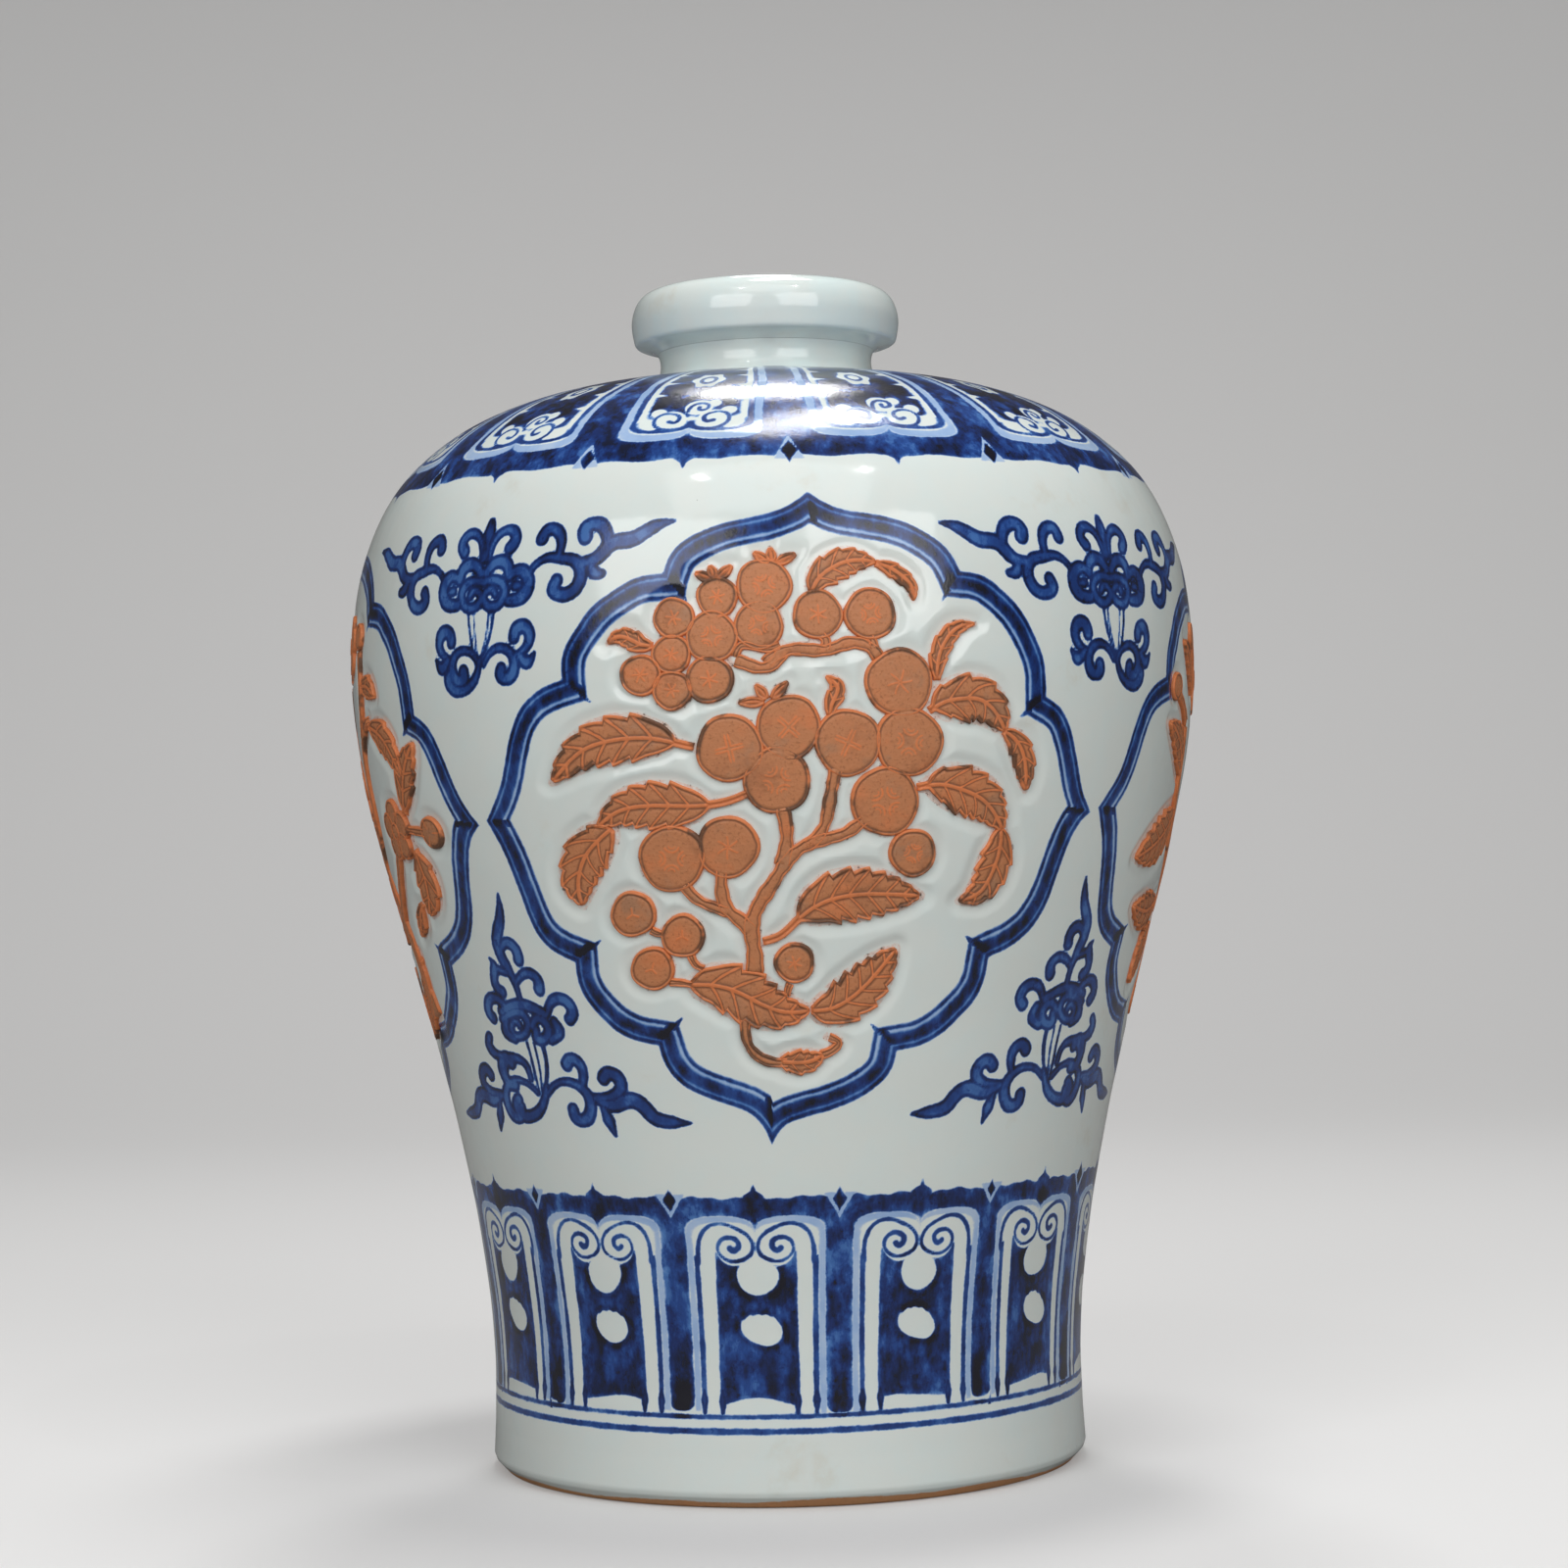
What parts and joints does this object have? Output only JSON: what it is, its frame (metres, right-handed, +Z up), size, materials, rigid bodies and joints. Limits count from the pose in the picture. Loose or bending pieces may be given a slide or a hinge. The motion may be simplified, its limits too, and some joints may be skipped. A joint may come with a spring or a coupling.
{
  "type": "meiping vase",
  "caption": "Tall-shouldered porcelain vase with a short neck and rolled mouth, built of luted thrown sections, with moulded clay sprays in sunk ogee panels.",
  "frame": {"origin": "centre of the foot, on the surface that the vase stands on", "axes": "+Z up along the axis of the vase, -Y out of the front panel's side, +X to the right of it"},
  "size_m": [0.2888, 0.2888, 0.4],
  "materials": {
    "glazed_porcelain": "clear glossy glaze over cobalt painting",
    "bare_clay": "unglazed, matt, iron-red from the kiln"
  },
  "bodies": {
    "root": {"foot_and_floor": "glazed_porcelain", "lower_body": "glazed_porcelain", "belly": "glazed_porcelain", "shoulder": "glazed_porcelain", "neck": "glazed_porcelain", "mouth_rim": "glazed_porcelain", "fruits_front": "bare_clay", "calyxes_front": "bare_clay", "leaves_front": "bare_clay", "branches_front": "bare_clay", "fruits_back": "bare_clay", "calyxes_back": "bare_clay", "leaves_back": "bare_clay", "branches_back": "bare_clay", "blossoms_left": "bare_clay", "buds_left": "bare_clay", "leaves_left": "bare_clay", "branches_left": "bare_clay", "blossoms_right": "bare_clay", "buds_right": "bare_clay", "leaves_right": "bare_clay", "branches_right": "bare_clay"}
  },
  "joints": []
}
